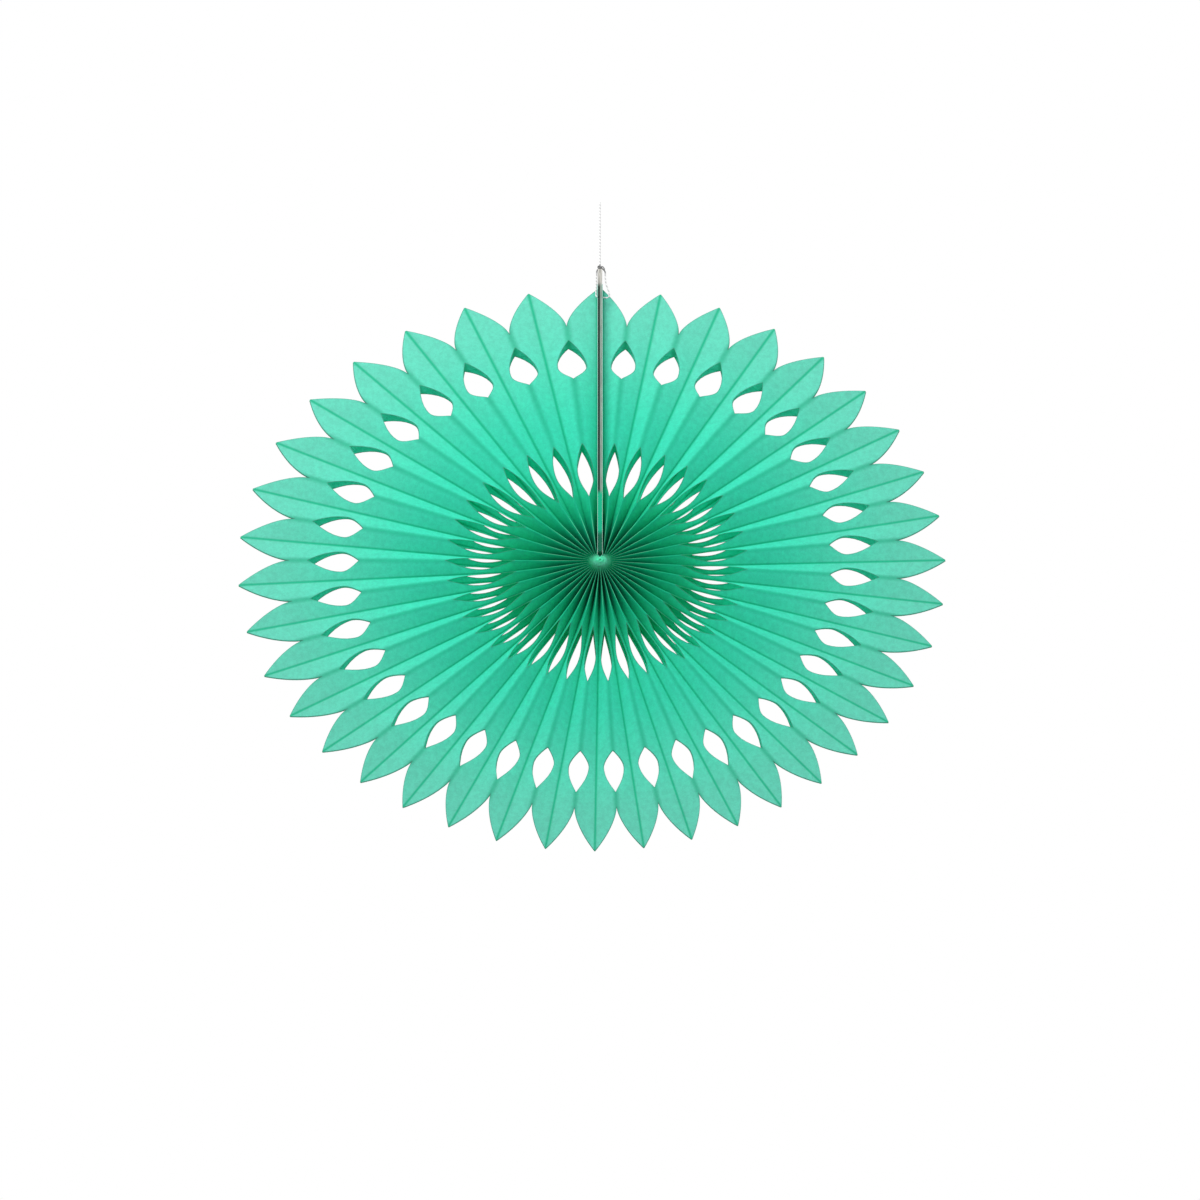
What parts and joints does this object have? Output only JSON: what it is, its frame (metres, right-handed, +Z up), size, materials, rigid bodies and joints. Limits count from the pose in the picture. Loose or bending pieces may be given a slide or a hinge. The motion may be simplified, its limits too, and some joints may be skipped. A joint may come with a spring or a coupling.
{
  "type": "paper fan rosette",
  "caption": "Round hanging rosette of pleated teal tissue paper with petal tips and cut-out holes, held by two board stays and a thread.",
  "frame": {"origin": "top end of the hanging thread, where the rosette is hung up", "axes": "+Z up along the thread and the stays, front of the rosette towards -Y, +X to the right seen from the front"},
  "size_m": [0.4009, 0.0185, 0.4633],
  "materials": {
    "front_tissue": "thin uncoated tissue",
    "rear_tissue": "thin uncoated tissue",
    "right_stay": "grey board",
    "left_stay": "grey board",
    "thread_loop": "twisted thread",
    "hanging_thread": "twisted thread"
  },
  "bodies": {
    "root": {"front_tissue": "front_tissue", "rear_tissue": "rear_tissue", "right_stay": "right_stay", "left_stay": "left_stay", "thread_loop": "thread_loop", "hanging_thread": "hanging_thread"}
  },
  "joints": []
}
